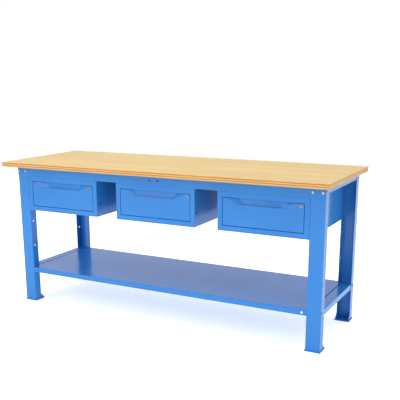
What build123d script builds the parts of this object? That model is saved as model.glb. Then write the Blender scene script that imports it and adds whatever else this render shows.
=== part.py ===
from build123d import *
import math
import os

# Steel workbench with a plywood top, a lower shelf and three lockable drawers.
# Millimetres, +Z up, +X along the length, -Y towards the user.
# The origin is on the floor, under the middle of the worktop.

# ---- worktop
WORKTOP_LENGTH = 2000.0
WORKTOP_DEPTH = 706.0
WORKTOP_THICKNESS = 28.0
OVERALL_HEIGHT = 876.0
END_OVERHANG = 42.0
FRONT_OVERHANG = 94.0
BACK_OVERHANG = 20.0

# ---- legs: C-channels that open towards the middle of the bench
LEG_WIDTH = 77.0
LEG_DEPTH = 49.0
LEG_SHEET = 2.0
LEG_HOLE_PITCH = 152.0
LEG_HOLE_COUNT = 4
LEG_HOLE_SETBACK = 21.0
FOOT_THICKNESS = 5.0
FOOT_REACH = 28.0
FOOT_MARGIN = 4.0
GUSSET_HEIGHT = 30.0
ANCHOR_HOLE_RADIUS = 6.0

# ---- aprons and side rails
APRON_HEIGHT = 60.0
APRON_FLANGE = 25.0
APRON_BOLT_SPACING = 50.0
APRON_BOLT_DROP = 31.0
ACCESSORY_HOLE_SPACING = 50.0
ACCESSORY_HOLE_DROP = 33.0
ACCESSORY_HOLE_RADIUS = 5.0
UPPER_RAIL_HEIGHT = 40.0
RAIL_FLANGE = 20.0
RAIL_BOLT_EDGE = 9.0

# ---- shelf
SHELF_HEIGHT = 217.0
SHELF_LIP = 30.0
SHELF_SHEET = 1.5
SHELF_BACK_GAP = 12.0
SHELF_LAP = 14.0
SHELF_HEM = 15.0
SHELF_TAB_GAP = 2.0
SHELF_RAIL_GAP = 5.0
SHELF_BOLT_DROP = 13.0
LIP_HOLE_RADIUS = 6.0
LIP_HOLE_FROM_LEG = 24.0
STIFFENER_WIDTH = 50.0
STIFFENER_HEIGHT = 24.0
STIFFENER_FLANGE = 12.0
STIFFENER_SPACING = 240.0

# ---- drawer housings
DRAWER_NAMES = ("left", "centre", "right")
HOUSING_WIDTH = 498.0
HOUSING_HEIGHT = 208.0
HOUSING_BACK_GAP = 12.0
HOUSING_SHEET = 1.5
BORDER_SIDE = 27.0
BORDER_TOP = 30.0
BORDER_BOTTOM = 28.0
BORDER_RETURN = 22.0
HOUSING_SCREW_INSET = 59.0
HOUSING_SCREW_EDGE = 5.5
SIDE_SCREW_SETBACK = 27.0
SIDE_SCREW_HEIGHT = 12.0
SIDE_HOLE_HEIGHT = 72.0
SIDE_HOLE_RADIUS = 5.5
BRACKET_LENGTH = 40.0
BRACKET_HEIGHT = 38.0
BRACKET_END_INSET = 40.0

# ---- drawers
FRONT_GAP = 2.5
FRONT_INSET = 1.0
FRONT_DEPTH = 20.0
FRONT_SHEET = 1.5
FRONT_FLANGE = 20.0
TRAY_SHEET = 1.2
TRAY_HEIGHT = 114.0
TRAY_RAISE = 6.0
TRAY_BACK_GAP = 17.0

# ---- finger pull pressed into the top edge of each drawer front
PULL_SIDE_MARGIN = 24.5
PULL_END_RUN = 60.0
PULL_DROP = 32.0
PULL_DEPTH = 15.0
PULL_FLOOR_DEPTH = 8.0
PULL_FLOOR_DIP = 6.0
POCKET_OVERRUN = 5.0

# ---- telescopic runners, in three members on each side of a tray
RUNNER_THICKNESS = 12.7
RUNNER_SHEET = 1.2
RUNNER_HEIGHT = 45.0
RUNNER_SIDE_GAP = 1.8
RUNNER_END_GAP = 0.8
RUNNER_BACK_GAP = 2.5
OUTER_LIP_GAP = 1.5
MID_HEIGHT = 37.0
MID_LIP_GAP = 2.0
MID_REACH = 8.5
MID_WEB_SETBACK = 5.6
INNER_HEIGHT = 28.6
INNER_REACH = 5.0
GLIDE_CLEARANCE = 0.4
GLIDE_LENGTH = 260.0

# ---- cam locks
LOCK_FROM_SIDE = 16.5
LOCK_FROM_TOP = 15.0
BEZEL_RADIUS = 10.0
BEZEL_THICKNESS = 1.5
BARREL_RADIUS = 8.0
BARREL_LENGTH = 21.0
PLUG_RADIUS = 4.8
PLUG_CLEARANCE = 0.05
PLUG_PROUD = 0.5
KEYWAY_WIDTH = 1.2
KEYWAY_HEIGHT = 6.0
KEYWAY_DEPTH = 14.0
NECK_RADIUS = 3.5
NECK_LENGTH = 5.0
CAM_REACH = 28.0
CAM_WIDTH = 12.0
CAM_THICKNESS = 2.0
CAM_GAP = 0.5
LOCK_NUT_ACROSS_FLATS = 19.0
LOCK_NUT_THICKNESS = 4.0

# ---- fasteners
BOLT_RADIUS = 4.0
BOLT_HOLE_RADIUS = 4.5
BOLT_ACROSS_FLATS = 13.0
BOLT_HEAD_HEIGHT = 5.3
NUT_HEIGHT = 6.5
BOLT_TAIL = 1.5
THREAD_CLEARANCE = 0.05
SCREW_RADIUS = 2.5
SCREW_HOLE_RADIUS = 2.75
SCREW_HEAD_RADIUS = 5.0
SCREW_HEAD_HEIGHT = 3.0
SCREW_SOCKET_ACROSS_FLATS = 3.0
SCREW_TAIL = 6.0
WORKTOP_SCREW_BITE = 18.0
WORKTOP_SCREWS_PER_APRON = 4

# ---- places worked out from the sizes above
FRAME_TOP = OVERALL_HEIGHT - WORKTOP_THICKNESS
FRAME_HALF = WORKTOP_LENGTH / 2 - END_OVERHANG
FRAME_FRONT = -WORKTOP_DEPTH / 2 + FRONT_OVERHANG
FRAME_BACK = WORKTOP_DEPTH / 2 - BACK_OVERHANG
FRAME_MIDDLE = (FRAME_FRONT + FRAME_BACK) / 2
LEG_INNER = FRAME_HALF - LEG_WIDTH
LEG_CENTRE = FRAME_HALF - LEG_WIDTH / 2
BOLT_LINE_FRONT = FRAME_FRONT + LEG_HOLE_SETBACK
RAIL_FRONT = BOLT_LINE_FRONT - RAIL_BOLT_EDGE
APRON_BOTTOM = FRAME_TOP - APRON_HEIGHT
APRON_BOLT_HEIGHT = FRAME_TOP - APRON_BOLT_DROP
UPPER_RAIL_BOLT_HEIGHT = FRAME_TOP - UPPER_RAIL_HEIGHT / 2
SHELF_UNDERSIDE = SHELF_HEIGHT - SHELF_SHEET
SHELF_BOTTOM = SHELF_HEIGHT - SHELF_LIP
SHELF_END = LEG_INNER + SHELF_LAP
SHELF_BACK = FRAME_BACK - SHELF_BACK_GAP
SHELF_BOLT_HEIGHT = SHELF_HEIGHT - SHELF_BOLT_DROP
HOUSING_TOP = APRON_BOTTOM
HOUSING_BOTTOM = HOUSING_TOP - HOUSING_HEIGHT
HOUSING_HALF = HOUSING_WIDTH / 2
HOUSING_BACK = FRAME_BACK - HOUSING_BACK_GAP
HOUSING_CENTRES = {
    "left": -(LEG_INNER - HOUSING_HALF),
    "centre": 0.0,
    "right": LEG_INNER - HOUSING_HALF,
}
SIDE_SCREW_Z = HOUSING_BOTTOM + SIDE_SCREW_HEIGHT
SIDE_SCREW_Y = FRAME_FRONT + SIDE_SCREW_SETBACK
OPENING_HALF = HOUSING_HALF - BORDER_SIDE
OPENING_TOP = HOUSING_TOP - BORDER_TOP
OPENING_BOTTOM = HOUSING_BOTTOM + BORDER_BOTTOM
FRONT_HALF = OPENING_HALF - FRONT_GAP
FRONT_TOP = OPENING_TOP - FRONT_GAP
FRONT_BOTTOM = OPENING_BOTTOM + FRONT_GAP
FRONT_FACE = FRAME_FRONT + FRONT_INSET
FRONT_BACK = FRONT_FACE + FRONT_DEPTH
PULL_HALF_TOP = FRONT_HALF - PULL_SIDE_MARGIN
PULL_HALF_WIDTH = PULL_HALF_TOP - PULL_END_RUN
RUNNER_OUTER = OPENING_HALF - RUNNER_SIDE_GAP
TRAY_HALF = RUNNER_OUTER - RUNNER_THICKNESS
TRAY_BOTTOM = OPENING_BOTTOM + TRAY_RAISE
TRAY_TOP = TRAY_BOTTOM + TRAY_HEIGHT
TRAY_BACK = HOUSING_BACK - HOUSING_SHEET - TRAY_BACK_GAP
RUNNER_CENTRE = (OPENING_TOP + OPENING_BOTTOM) / 2
RUNNER_FRONT = FRONT_BACK + TRAY_SHEET + RUNNER_END_GAP
RUNNER_BACK = TRAY_BACK - RUNNER_BACK_GAP
LOCK_OFFSET = FRONT_HALF - LOCK_FROM_SIDE
LOCK_HEIGHT = FRONT_TOP - LOCK_FROM_TOP
BARREL_END = FRONT_FACE + BARREL_LENGTH

RIGHT_TO_LEFT = Plane.YZ
FRONT_TO_REAR = Plane(origin=(0, FRAME_MIDDLE, 0), x_dir=(1, 0, 0), z_dir=(0, 1, 0))


# ---- helpers
def block(x, y, z):
    """A box between the two ends given along each axis."""
    middle = [(a + b) / 2 for a, b in (x, y, z)]
    size = [abs(b - a) for a, b in (x, y, z)]
    return Pos(*middle) * Box(*size)


def rod(start, direction, radius, length):
    """A cylinder that starts at a point and runs along a direction."""
    plane = Plane(origin=start, z_dir=direction)
    return extrude(plane * Circle(radius), amount=length)


def hexagon(start, direction, across_flats, length):
    """A hexagonal prism that starts at a point and runs along a direction."""
    plane = Plane(origin=start, z_dir=direction)
    return extrude(plane * RegularPolygon(across_flats / math.sqrt(3), 6), amount=length)


def along(point, direction, distance):
    """The point a distance further along a direction."""
    return tuple(p + d * distance for p, d in zip(point, direction))


def both_sides(shape):
    """The shape and its mirror image across the bench's middle, as separate solids."""
    return Compound(children=[shape, mirror(shape, about=RIGHT_TO_LEFT)])


def save(shape, node):
    """Write one node's solids to its own file."""
    export_step(shape, f"parts/{node}.step")


# ---- worktop and its screws
def worktop_screw_places():
    """Screw positions under the worktop: a row through each apron's top flange."""
    pitch = 2 * LEG_INNER / WORKTOP_SCREWS_PER_APRON
    rows = (FRAME_FRONT + APRON_FLANGE / 2, FRAME_BACK - APRON_FLANGE / 2)
    return [
        ((i + 0.5) * pitch - LEG_INNER, y, FRAME_TOP - LEG_SHEET)
        for i in range(WORKTOP_SCREWS_PER_APRON)
        for y in rows
    ]


def make_worktop():
    """The plywood top, with blind holes for its screws."""
    top = block(
        (-WORKTOP_LENGTH / 2, WORKTOP_LENGTH / 2),
        (-WORKTOP_DEPTH / 2, WORKTOP_DEPTH / 2),
        (FRAME_TOP, OVERALL_HEIGHT),
    )
    for place in worktop_screw_places():
        radius = SCREW_RADIUS + THREAD_CLEARANCE
        top -= rod(place, (0, 0, 1), radius, LEG_SHEET + WORKTOP_SCREW_BITE + 1)
    return top


# ---- legs and feet
def leg_hole_heights():
    """Heights of the row of holes in a leg's two walls, from the shelf bolt up."""
    return [SHELF_BOLT_HEIGHT + i * LEG_HOLE_PITCH for i in range(LEG_HOLE_COUNT)]


def make_front_right_leg():
    """A C-channel: its web faces the front and its two walls run back."""
    leg = block(
        (LEG_INNER, FRAME_HALF),
        (FRAME_FRONT, FRAME_FRONT + LEG_DEPTH),
        (FOOT_THICKNESS, FRAME_TOP),
    )
    leg -= block(
        (LEG_INNER + LEG_SHEET, FRAME_HALF - LEG_SHEET),
        (FRAME_FRONT + LEG_SHEET, FRAME_FRONT + LEG_DEPTH + 1),
        (0, FRAME_TOP + 1),
    )
    inner_start = LEG_INNER - 1
    for height in leg_hole_heights():
        start = (inner_start, BOLT_LINE_FRONT, height)
        leg -= rod(start, (1, 0, 0), BOLT_HOLE_RADIUS, LEG_WIDTH + 2)
    rail_start = (LEG_CENTRE, BOLT_LINE_FRONT, UPPER_RAIL_BOLT_HEIGHT)
    leg -= rod(rail_start, (1, 0, 0), BOLT_HOLE_RADIUS, LEG_WIDTH)
    for x in apron_bolt_offsets():
        start = (x, FRAME_FRONT - 1, APRON_BOLT_HEIGHT)
        leg -= rod(start, (0, 1, 0), BOLT_HOLE_RADIUS, LEG_SHEET + 2)
    side_screw = (inner_start, SIDE_SCREW_Y, SIDE_SCREW_Z)
    leg -= rod(side_screw, (1, 0, 0), SCREW_HOLE_RADIUS, LEG_SHEET + 2)
    return leg


def anchor_place():
    """Centre of the anchor hole in the front right foot, at the leg's open side."""
    return (LEG_CENTRE, FRAME_FRONT + LEG_DEPTH, 0)


def make_front_right_foot():
    """A base plate with two gussets, one behind each wall of the leg."""
    leg_back = FRAME_FRONT + LEG_DEPTH
    foot_back = leg_back + FOOT_REACH
    foot = block(
        (LEG_INNER - FOOT_MARGIN, FRAME_HALF + FOOT_MARGIN),
        (FRAME_FRONT - FOOT_MARGIN, foot_back),
        (0, FOOT_THICKNESS),
    )
    outline = Polyline(
        (leg_back, FOOT_THICKNESS),
        (foot_back, FOOT_THICKNESS),
        (leg_back, FOOT_THICKNESS + GUSSET_HEIGHT),
        close=True,
    )
    for x in (LEG_INNER, FRAME_HALF - LEG_SHEET):
        foot += extrude(Plane.YZ.offset(x) * make_face(outline), amount=LEG_SHEET)
    foot -= rod(anchor_place(), (0, 0, 1), ANCHOR_HOLE_RADIUS, FOOT_THICKNESS + 1)
    return foot


# ---- aprons and rails
def apron_bolt_offsets():
    """X places of the two bolts that hold an apron's end to the right-hand legs."""
    return (LEG_CENTRE - APRON_BOLT_SPACING / 2, LEG_CENTRE + APRON_BOLT_SPACING / 2)


def make_plain_front_apron():
    """A folded strip across the legs' fronts, with a flange at its top and its bottom."""
    apron = block(
        (-FRAME_HALF, FRAME_HALF),
        (FRAME_FRONT - LEG_SHEET, FRAME_FRONT),
        (APRON_BOTTOM, FRAME_TOP),
    )
    for bottom in (APRON_BOTTOM, FRAME_TOP - LEG_SHEET):
        apron += block(
            (-LEG_INNER, LEG_INNER),
            (FRAME_FRONT - LEG_SHEET, FRAME_FRONT + APRON_FLANGE),
            (bottom, bottom + LEG_SHEET),
        )
    for x in apron_bolt_offsets():
        for side in (-1, 1):
            start = (side * x, FRAME_FRONT - LEG_SHEET - 1, APRON_BOLT_HEIGHT)
            apron -= rod(start, (0, 1, 0), BOLT_HOLE_RADIUS, LEG_SHEET + 2)
    return apron


def cut_apron_screw_holes(apron):
    """Holes for the worktop's screws above and the housings' screws below."""
    for place in worktop_screw_places():
        start = along(place, (0, 0, 1), -1)
        apron -= rod(start, (0, 0, 1), SCREW_HOLE_RADIUS, LEG_SHEET + 2)
    for place in housing_top_screw_places():
        start = along(place, (0, 0, 1), -LEG_SHEET - 1)
        apron -= rod(start, (0, 0, 1), SCREW_HOLE_RADIUS, LEG_SHEET + 2)
    return apron


def make_front_apron():
    """The front apron, with two holes in its middle for an accessory under the top."""
    apron = cut_apron_screw_holes(make_plain_front_apron())
    for side in (-1, 1):
        height = FRAME_TOP - ACCESSORY_HOLE_DROP
        start = (side * ACCESSORY_HOLE_SPACING / 2, FRAME_FRONT - LEG_SHEET - 1, height)
        apron -= rod(start, (0, 1, 0), ACCESSORY_HOLE_RADIUS, LEG_SHEET + 2)
    return apron


def make_rear_apron():
    """The rear apron, facing the other way."""
    return cut_apron_screw_holes(mirror(make_plain_front_apron(), about=FRONT_TO_REAR))


def rail_bolt_lines():
    """Y places of the bolts at the two ends of a side rail."""
    return (BOLT_LINE_FRONT, FRAME_BACK - LEG_HOLE_SETBACK)


def make_right_upper_rail():
    """A channel inside the outer walls of the two right-hand legs, under the worktop."""
    outer = FRAME_HALF - LEG_SHEET
    length = (RAIL_FRONT, FRAME_BACK - (RAIL_FRONT - FRAME_FRONT))
    bottom = FRAME_TOP - UPPER_RAIL_HEIGHT
    rail = block((outer - RAIL_FLANGE, outer), length, (bottom, FRAME_TOP))
    rail -= block(
        (outer - RAIL_FLANGE - 1, outer - LEG_SHEET),
        (length[0] - 1, length[1] + 1),
        (bottom + LEG_SHEET, FRAME_TOP - LEG_SHEET),
    )
    for y in rail_bolt_lines():
        start = (outer - LEG_SHEET - 1, y, UPPER_RAIL_BOLT_HEIGHT)
        rail -= rod(start, (1, 0, 0), BOLT_HOLE_RADIUS, LEG_SHEET + 2)
    return rail


def make_right_lower_rail():
    """An upturned trough inside the outer walls of the two right-hand legs, level with the shelf."""
    inner = SHELF_END + SHELF_RAIL_GAP
    outer = FRAME_HALF - LEG_SHEET
    length = (RAIL_FRONT, FRAME_BACK - (RAIL_FRONT - FRAME_FRONT))
    rail = block((inner, outer), length, (SHELF_BOTTOM, SHELF_HEIGHT))
    rail -= block(
        (inner + LEG_SHEET, outer - LEG_SHEET),
        (length[0] - 1, length[1] + 1),
        (SHELF_BOTTOM - 1, SHELF_HEIGHT - LEG_SHEET),
    )
    for y in rail_bolt_lines():
        start = (outer - LEG_SHEET - 1, y, SHELF_BOLT_HEIGHT)
        rail -= rod(start, (1, 0, 0), BOLT_HOLE_RADIUS, LEG_SHEET + 2)
    return rail


# ---- shelf
def make_shelf():
    """A folded tray turned upside down, its ends reaching between the front and rear legs."""
    plate = (SHELF_UNDERSIDE, SHELF_HEIGHT)
    walls = (SHELF_BOTTOM, SHELF_HEIGHT)
    shelf = block((-LEG_INNER, LEG_INNER), (FRAME_FRONT, SHELF_BACK), plate)
    leg_clear = LEG_DEPTH + SHELF_TAB_GAP
    between_legs = (FRAME_FRONT + leg_clear, FRAME_BACK - leg_clear)
    shelf += block((-SHELF_END, SHELF_END), between_legs, plate)
    for face, inward in ((FRAME_FRONT, 1), (SHELF_BACK, -1)):
        span = (-LEG_INNER, LEG_INNER)
        shelf += block(span, (face, face + inward * SHELF_SHEET), walls)
        hem = (SHELF_BOTTOM, SHELF_BOTTOM + SHELF_SHEET)
        shelf += block(span, (face, face + inward * SHELF_HEM), hem)
    for side in (-1, 1):
        end = (side * (SHELF_END - SHELF_SHEET), side * SHELF_END)
        shelf += block(end, between_legs, walls)
        x = (side * (LEG_INNER - SHELF_SHEET), side * LEG_INNER)
        shelf += block(x, (FRAME_FRONT, FRAME_FRONT + LEG_DEPTH), walls)
        shelf += block(x, (FRAME_BACK - LEG_DEPTH, SHELF_BACK), walls)
        for y in rail_bolt_lines():
            start = (side * (LEG_INNER - SHELF_SHEET - 1), y, SHELF_BOLT_HEIGHT)
            length = SHELF_SHEET + 2
            shelf -= rod(start, (side, 0, 0), BOLT_HOLE_RADIUS, length)
        hole_x = side * (LEG_INNER - LIP_HOLE_FROM_LEG)
        start = (hole_x, FRAME_FRONT - 1, SHELF_BOTTOM + SHELF_LIP / 2)
        shelf -= rod(start, (0, 1, 0), LIP_HOLE_RADIUS, SHELF_SHEET + 2)
    return shelf


def make_stiffener(y):
    """A hat section welded along the underside of the shelf."""
    half = LEG_INNER - SHELF_SHEET - 2
    outline = Polyline(
        (-STIFFENER_WIDTH / 2 - STIFFENER_FLANGE, 0),
        (-STIFFENER_WIDTH / 2 + SHELF_SHEET, 0),
        (-STIFFENER_WIDTH / 2 + SHELF_SHEET, -STIFFENER_HEIGHT + SHELF_SHEET),
        (STIFFENER_WIDTH / 2 - SHELF_SHEET, -STIFFENER_HEIGHT + SHELF_SHEET),
        (STIFFENER_WIDTH / 2 - SHELF_SHEET, 0),
        (STIFFENER_WIDTH / 2 + STIFFENER_FLANGE, 0),
        (STIFFENER_WIDTH / 2 + STIFFENER_FLANGE, -SHELF_SHEET),
        (STIFFENER_WIDTH / 2, -SHELF_SHEET),
        (STIFFENER_WIDTH / 2, -STIFFENER_HEIGHT),
        (-STIFFENER_WIDTH / 2, -STIFFENER_HEIGHT),
        (-STIFFENER_WIDTH / 2, -SHELF_SHEET),
        (-STIFFENER_WIDTH / 2 - STIFFENER_FLANGE, -SHELF_SHEET),
        close=True,
    )
    plane = Plane(origin=(-half, y, SHELF_UNDERSIDE), x_dir=(0, 1, 0), z_dir=(1, 0, 0))
    return extrude(plane * make_face(outline), amount=2 * half)


def make_stiffeners():
    """Two stiffeners, either side of the shelf's middle line."""
    middle = (FRAME_FRONT + SHELF_BACK) / 2
    places = (middle - STIFFENER_SPACING / 2, middle + STIFFENER_SPACING / 2)
    return Compound(children=[make_stiffener(y) for y in places])


# ---- fasteners
def hex_bolt(seat, direction, grip):
    """A bolt whose head sits on a surface and whose shank runs through a stack of sheet."""
    bolt = rod(seat, direction, BOLT_RADIUS, grip + NUT_HEIGHT + BOLT_TAIL)
    head_top = along(seat, direction, -BOLT_HEAD_HEIGHT)
    return bolt + hexagon(head_top, direction, BOLT_ACROSS_FLATS, BOLT_HEAD_HEIGHT)


def hex_nut(seat, direction, grip):
    """The nut on the far side of the same stack of sheet."""
    start = along(seat, direction, grip)
    nut = hexagon(start, direction, BOLT_ACROSS_FLATS, NUT_HEIGHT)
    return nut - rod(start, direction, BOLT_RADIUS + THREAD_CLEARANCE, NUT_HEIGHT)


def button_screw(seat, direction, length):
    """A screw with a low round head and a hexagonal socket."""
    screw = rod(seat, direction, SCREW_RADIUS, length)
    head_top = along(seat, direction, -SCREW_HEAD_HEIGHT)
    screw += rod(head_top, direction, SCREW_HEAD_RADIUS, SCREW_HEAD_HEIGHT)
    socket_depth = SCREW_HEAD_HEIGHT * 0.6
    return screw - hexagon(head_top, direction, SCREW_SOCKET_ACROSS_FLATS, socket_depth)


def frame_bolt_seats():
    """Seat, direction and grip of every bolt in the frame's right-hand half."""
    apron_grip = 2 * LEG_SHEET
    faces = ((FRAME_FRONT - LEG_SHEET, 1), (FRAME_BACK + LEG_SHEET, -1))
    seats = [
        ((x, y, APRON_BOLT_HEIGHT), (0, inward, 0), apron_grip)
        for x in apron_bolt_offsets()
        for y, inward in faces
    ]
    for y in rail_bolt_lines():
        for height in (UPPER_RAIL_BOLT_HEIGHT, SHELF_BOLT_HEIGHT):
            seats.append(((FRAME_HALF, y, height), (-1, 0, 0), 2 * LEG_SHEET))
        seat = (LEG_INNER + LEG_SHEET, y, SHELF_BOLT_HEIGHT)
        seats.append((seat, (-1, 0, 0), LEG_SHEET + SHELF_SHEET))
    return seats


def housing_top_screw_places():
    """Screw heads on the aprons' lower flanges, four for each housing."""
    front = FRAME_FRONT + APRON_FLANGE / 2
    rear = HOUSING_BACK - HOUSING_SHEET - HOUSING_SCREW_EDGE
    half = HOUSING_HALF - HOUSING_SCREW_INSET
    return [
        (centre + side * half, y, APRON_BOTTOM + LEG_SHEET)
        for centre in HOUSING_CENTRES.values()
        for side in (-1, 1)
        for y in (front, rear)
    ]


def housing_side_screw_places():
    """Seat and direction of the screw near the lower front corner of each housing side."""
    places = []
    for name, centre in HOUSING_CENTRES.items():
        for side in (-1, 1):
            x = centre + side * HOUSING_HALF
            if abs(abs(x) - LEG_INNER) < LEG_SHEET:
                x += side * LEG_SHEET
            places.append(((x, SIDE_SCREW_Y, SIDE_SCREW_Z), (-side, 0, 0)))
    return places


def make_worktop_screws():
    """Screws that come up through the aprons' top flanges into the wood."""
    length = LEG_SHEET + WORKTOP_SCREW_BITE
    screws = [button_screw(p, (0, 0, 1), length) for p in worktop_screw_places()]
    return Compound(children=screws)


def make_housing_screws():
    """Screws that hang the housings from the aprons and hold their front corners."""
    length = LEG_SHEET + HOUSING_SHEET + SCREW_TAIL
    screws = [button_screw(p, (0, 0, -1), length) for p in housing_top_screw_places()]
    screws += [button_screw(p, d, length) for p, d in housing_side_screw_places()]
    return Compound(children=screws)


# ---- drawer housing
def make_bracket(centre, side, y):
    """A boxed spacer from a housing side to the outer runner."""
    wall = centre + side * (HOUSING_HALF - HOUSING_SHEET)
    face = centre + side * RUNNER_OUTER
    z = (RUNNER_CENTRE - BRACKET_HEIGHT / 2, RUNNER_CENTRE + BRACKET_HEIGHT / 2)
    bracket = block((face, wall), (y, y + BRACKET_LENGTH), z)
    return bracket - block(
        (face + side * HOUSING_SHEET, wall),
        (y - 1, y + BRACKET_LENGTH + 1),
        (z[0] + HOUSING_SHEET, z[1] - HOUSING_SHEET),
    )


def make_housing(centre):
    """A folded box with a bordered opening at the front, and the runner brackets."""
    x = (centre - HOUSING_HALF, centre + HOUSING_HALF)
    y = (FRAME_FRONT, HOUSING_BACK)
    z = (HOUSING_BOTTOM, HOUSING_TOP)
    sheet = HOUSING_SHEET
    inside = [(low + sheet, high - sheet) for low, high in (x, y, z)]
    housing = block(x, y, z) - block(*inside)
    opening_x = (centre - OPENING_HALF, centre + OPENING_HALF)
    opening_z = (OPENING_BOTTOM, OPENING_TOP)
    housing += block(
        (opening_x[0] - sheet, opening_x[1] + sheet),
        (FRAME_FRONT, FRAME_FRONT + BORDER_RETURN),
        (opening_z[0] - sheet, opening_z[1] + sheet),
    )
    housing -= block(opening_x, (FRAME_FRONT - 1, FRAME_FRONT + BORDER_RETURN + 1), opening_z)
    bracket_places = (
        RUNNER_FRONT + BRACKET_END_INSET,
        RUNNER_BACK - BRACKET_END_INSET - BRACKET_LENGTH,
    )
    for side in (-1, 1):
        for place in bracket_places:
            housing += make_bracket(centre, side, place)
        wall = centre + side * (HOUSING_HALF - sheet - 1)
        side_holes = ((SIDE_SCREW_HEIGHT, SCREW_HOLE_RADIUS), (SIDE_HOLE_HEIGHT, SIDE_HOLE_RADIUS))
        for height, radius in side_holes:
            start = (wall, SIDE_SCREW_Y, HOUSING_BOTTOM + height)
            housing -= rod(start, (side, 0, 0), radius, sheet + 2)
    for px, py, pz in housing_top_screw_places():
        if abs(px - centre) < HOUSING_HALF:
            start = (px, py, HOUSING_TOP - sheet - 1)
            housing -= rod(start, (0, 0, 1), SCREW_HOLE_RADIUS, sheet + 2)
    return housing


# ---- telescopic runners
def channel(reach, height, web_start, length):
    """A C-section runner member, its web at one distance and its flanges to another.

    Distances run outwards from the tray's side, and height is across the flanges.
    """
    web = (web_start, web_start + RUNNER_SHEET)
    member = block(web, length, (-height / 2, height / 2))
    for side in (-1, 1):
        flange = (side * height / 2, side * (height / 2 - RUNNER_SHEET))
        member += block(reach, length, flange)
    return member


def pair_at(member, centre):
    """The right-hand member, placed beside a tray, and its mirror image on the left."""
    right = Pos(TRAY_HALF, 0, RUNNER_CENTRE) * member
    pair = both_sides(right)
    return Pos(centre, 0, 0) * pair


def make_outer_runners(centre):
    """The pair of outer members, on the housing's brackets."""
    length = (RUNNER_FRONT, RUNNER_BACK)
    reach = (OUTER_LIP_GAP, RUNNER_THICKNESS)
    web_start = RUNNER_THICKNESS - RUNNER_SHEET
    return pair_at(channel(reach, RUNNER_HEIGHT, web_start, length), centre)


def make_mid_runners(centre):
    """The pair of middle members, which move half as far as the drawer."""
    length = (RUNNER_FRONT, RUNNER_BACK)
    reach = (MID_LIP_GAP, MID_LIP_GAP + MID_REACH)
    return pair_at(channel(reach, MID_HEIGHT, MID_WEB_SETBACK, length), centre)


def make_inner_runners(centre):
    """The pair of inner members, fixed to the tray's sides."""
    length = (RUNNER_FRONT, RUNNER_BACK)
    return pair_at(channel((0, INNER_REACH), INNER_HEIGHT, 0, length), centre)


def glide_strips(reach, height, space_height):
    """Plastic strips above and below the rear half of a runner member."""
    thickness = space_height / 2 - RUNNER_SHEET - GLIDE_CLEARANCE - height / 2
    length = (RUNNER_BACK - GLIDE_LENGTH, RUNNER_BACK)
    return [
        block(reach, length, (side * height / 2, side * (height / 2 + thickness)))
        for side in (-1, 1)
    ]


def make_glides(strips, centre):
    """Strips for both sides of one drawer, as separate solids."""
    children = []
    for strip in strips:
        right = Pos(TRAY_HALF, 0, RUNNER_CENTRE) * strip
        children += [Pos(centre, 0, 0) * right]
        children += [Pos(centre, 0, 0) * mirror(right, about=RIGHT_TO_LEFT)]
    return Compound(children=children)


# ---- drawer
def make_tray(centre):
    """An open box of folded sheet."""
    x = (centre - TRAY_HALF, centre + TRAY_HALF)
    tray = block(x, (FRONT_BACK, TRAY_BACK), (TRAY_BOTTOM, TRAY_TOP))
    return tray - block(
        (x[0] + TRAY_SHEET, x[1] - TRAY_SHEET),
        (FRONT_BACK + TRAY_SHEET, TRAY_BACK - TRAY_SHEET),
        (TRAY_BOTTOM + TRAY_SHEET, TRAY_TOP + 1),
    )


def pull_pocket(centre, grow):
    """The finger pull's pocket, larger all round by one sheet where grow says so.

    Its back leans away towards the top, its floor dips behind the lip, and its
    two ends slope outwards.
    """
    face = FRONT_FACE
    lip = FRONT_TOP - PULL_DROP
    above = FRONT_TOP + POCKET_OVERRUN
    lean = (PULL_DEPTH - PULL_FLOOR_DEPTH) / (PULL_DROP + PULL_FLOOR_DIP)
    outline = Polyline(
        (face - POCKET_OVERRUN, lip),
        (face, lip),
        (face + PULL_FLOOR_DEPTH, lip - PULL_FLOOR_DIP),
        (face + PULL_DEPTH + POCKET_OVERRUN * lean, above),
        (face - POCKET_OVERRUN, above),
        close=True,
    )
    profile = make_face(outline)
    if grow:
        profile = offset(profile, amount=grow, kind=Kind.INTERSECTION)
    pocket = extrude(Plane.YZ.offset(centre - HOUSING_HALF) * profile, amount=HOUSING_WIDTH)
    lip_end = Vector(PULL_HALF_WIDTH, face, lip)
    top_end = Vector(PULL_HALF_TOP, face, FRONT_TOP)
    back_end = Vector(PULL_HALF_WIDTH, face + PULL_DEPTH, FRONT_TOP)
    normal = (back_end - lip_end).cross(top_end - lip_end).normalized()
    for side in (-1, 1):
        outward = Vector(side * normal.X, normal.Y, normal.Z)
        origin = Vector(centre + side * lip_end.X, lip_end.Y, lip_end.Z) + outward * grow
        pocket = split(pocket, bisect_by=Plane(origin=origin, z_dir=outward), keep=Keep.BOTTOM)
    return pocket


def make_drawer_front(centre):
    """A folded pan with the finger pull in its top edge and a hole for the lock."""
    x = (centre - FRONT_HALF, centre + FRONT_HALF)
    y = (FRONT_FACE, FRONT_BACK)
    z = (FRONT_BOTTOM, FRONT_TOP)
    sheet = FRONT_SHEET
    hollow = block(
        (x[0] + sheet, x[1] - sheet),
        (y[0] + sheet, y[1] - sheet),
        (z[0] + sheet, z[1] - sheet),
    )
    back_hole = block(
        (x[0] + FRONT_FLANGE, x[1] - FRONT_FLANGE),
        (y[0] + sheet, y[1] + 1),
        (z[0] + FRONT_FLANGE, z[1] - sheet),
    )
    above_tray = block(
        (x[0] + sheet, x[1] - sheet),
        (y[0] + sheet, y[1] + 1),
        (TRAY_TOP, z[1] - sheet),
    )
    cavity = hollow + back_hole + above_tray - pull_pocket(centre, sheet)
    front = block(x, y, z) - pull_pocket(centre, 0) - cavity
    lock_hole = (centre + LOCK_OFFSET, FRONT_FACE - 1, LOCK_HEIGHT)
    return front - rod(lock_hole, (0, 1, 0), BARREL_RADIUS + THREAD_CLEARANCE, sheet + 2)


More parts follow.
